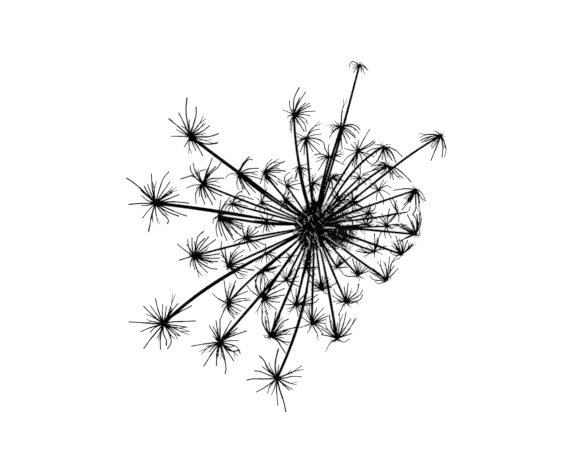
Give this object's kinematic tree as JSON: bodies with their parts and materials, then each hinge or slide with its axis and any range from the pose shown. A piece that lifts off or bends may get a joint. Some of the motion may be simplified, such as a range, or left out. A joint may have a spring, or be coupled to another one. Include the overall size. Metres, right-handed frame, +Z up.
{
  "type": "dried queen annes lace flower head",
  "caption": "Bare, dried compound umbel of a wild carrot on a short cut stub: ribbed rays that end in star-like little umbels, lying open side up on its stub and low pedicels",
  "frame": {"origin": "bottom centre of the bounding box, on the table that the flower head lies on", "axes": "+Z up from the table; +X is the picture's right and +Y its top, so the picture looks down -Z"},
  "size_m": [0.0966, 0.1046, 0.0551],
  "materials": {
    "dried_stalk": "dead plant stem, dried almost black, fine lengthwise ribs, matt with a faint sheen on the ribs",
    "dried_bract": "thin dried bracts, near black, matt and brittle",
    "dried_ray": "thin dried stems, near black, ribbed lengthwise, matt with a faint sheen"
  },
  "bodies": {
    "root": {"stalk": "dried_stalk", "involucre": "dried_bract", "ray_spray_01": "dried_ray", "ray_spray_02": "dried_ray", "ray_spray_03": "dried_ray", "ray_spray_04": "dried_ray", "ray_spray_05": "dried_ray", "ray_spray_06": "dried_ray", "ray_spray_07": "dried_ray", "ray_spray_08": "dried_ray", "ray_spray_09": "dried_ray", "ray_spray_10": "dried_ray", "ray_spray_11": "dried_ray", "ray_spray_12": "dried_ray", "ray_spray_13": "dried_ray", "ray_spray_14": "dried_ray", "ray_spray_15": "dried_ray", "ray_spray_16": "dried_ray", "ray_spray_17": "dried_ray", "ray_spray_18": "dried_ray", "ray_spray_19": "dried_ray", "ray_spray_20": "dried_ray", "ray_spray_21": "dried_ray", "ray_spray_22": "dried_ray", "ray_spray_23": "dried_ray", "ray_spray_24": "dried_ray", "ray_spray_25": "dried_ray", "ray_spray_26": "dried_ray", "ray_spray_27": "dried_ray", "ray_spray_28": "dried_ray", "ray_spray_29": "dried_ray", "ray_spray_30": "dried_ray", "ray_spray_31": "dried_ray", "ray_spray_32": "dried_ray", "ray_spray_33": "dried_ray", "ray_spray_34": "dried_ray", "ray_spray_35": "dried_ray", "ray_spray_36": "dried_ray", "ray_spray_37": "dried_ray", "ray_spray_38": "dried_ray", "ray_spray_39": "dried_ray", "ray_spray_40": "dried_ray", "ray_spray_41": "dried_ray", "ray_spray_42": "dried_ray", "ray_spray_43": "dried_ray", "ray_spray_44": "dried_ray", "ray_spray_45": "dried_ray", "ray_spray_46": "dried_ray", "ray_spray_47": "dried_ray", "ray_spray_48": "dried_ray", "ray_spray_49": "dried_ray", "ray_spray_50": "dried_ray", "ray_spray_51": "dried_ray", "ray_spray_52": "dried_ray", "ray_spray_53": "dried_ray", "ray_spray_54": "dried_ray", "ray_spray_55": "dried_ray", "ray_spray_56": "dried_ray", "ray_spray_57": "dried_ray", "ray_spray_58": "dried_ray"}
  },
  "joints": []
}
